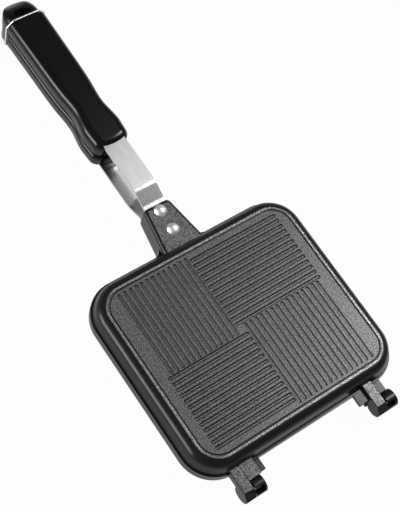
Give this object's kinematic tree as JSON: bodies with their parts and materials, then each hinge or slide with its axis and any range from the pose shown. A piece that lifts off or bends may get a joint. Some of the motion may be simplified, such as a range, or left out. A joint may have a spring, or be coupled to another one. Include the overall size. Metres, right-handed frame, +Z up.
{
  "type": "pie iron",
  "caption": "Hand-held pie iron: two hooked square cooking plates on joggled steel straps with moulded grips, held shut by a wire bail.",
  "frame": {"origin": "middle of the lower plate's flat cooking-side-down face, where it rests on a stove or table, midway between the plate's four sides", "axes": "+Z up through both plates; -X along the handles; +X towards the hinge lugs; Y across the plates"},
  "size_m": [0.353, 0.1538, 0.028],
  "materials": {
    "coated_casting": "dark speckled non-stick coating over die-cast aluminium",
    "pin_steel": "turned steel",
    "strap_steel": "brushed stainless strip",
    "rivet_aluminium": "polished domed head",
    "grip_plastic": "glossy black thermoset moulding",
    "screw_steel": "zinc-plated",
    "wire_steel": "bright drawn wire"
  },
  "bodies": {
    "lower_half": {"lower_plate": "coated_casting", "lower_hinge_pin": "pin_steel", "lower_strap": "strap_steel", "lower_front_rivet": "rivet_aluminium", "lower_rear_rivet": "rivet_aluminium", "lower_grip": "grip_plastic", "lower_front_grip_screw": "screw_steel", "lower_rear_grip_screw": "screw_steel"},
    "upper_half": {"upper_plate": "coated_casting", "upper_hinge_pin": "pin_steel", "upper_strap": "strap_steel", "upper_front_rivet": "rivet_aluminium", "upper_rear_rivet": "rivet_aluminium", "upper_grip": "grip_plastic", "upper_front_grip_screw": "screw_steel", "upper_rear_grip_screw": "screw_steel"},
    "bail": {"lock_bail": "wire_steel"}
  },
  "joints": [
    {"name": "lid_hinge", "type": "hinge", "parent": "lower_half", "child": "upper_half", "pos_m": [0.0803, 0, 0.014], "axis": [0, 1, 0], "range_deg": [0, 180]},
    {"name": "bail_swing", "type": "hinge", "parent": "lower_half", "child": "bail", "pos_m": [-0.2503, 0, 0.0035], "axis": [0, -1, 0], "range_deg": [0, 95]}
  ]
}
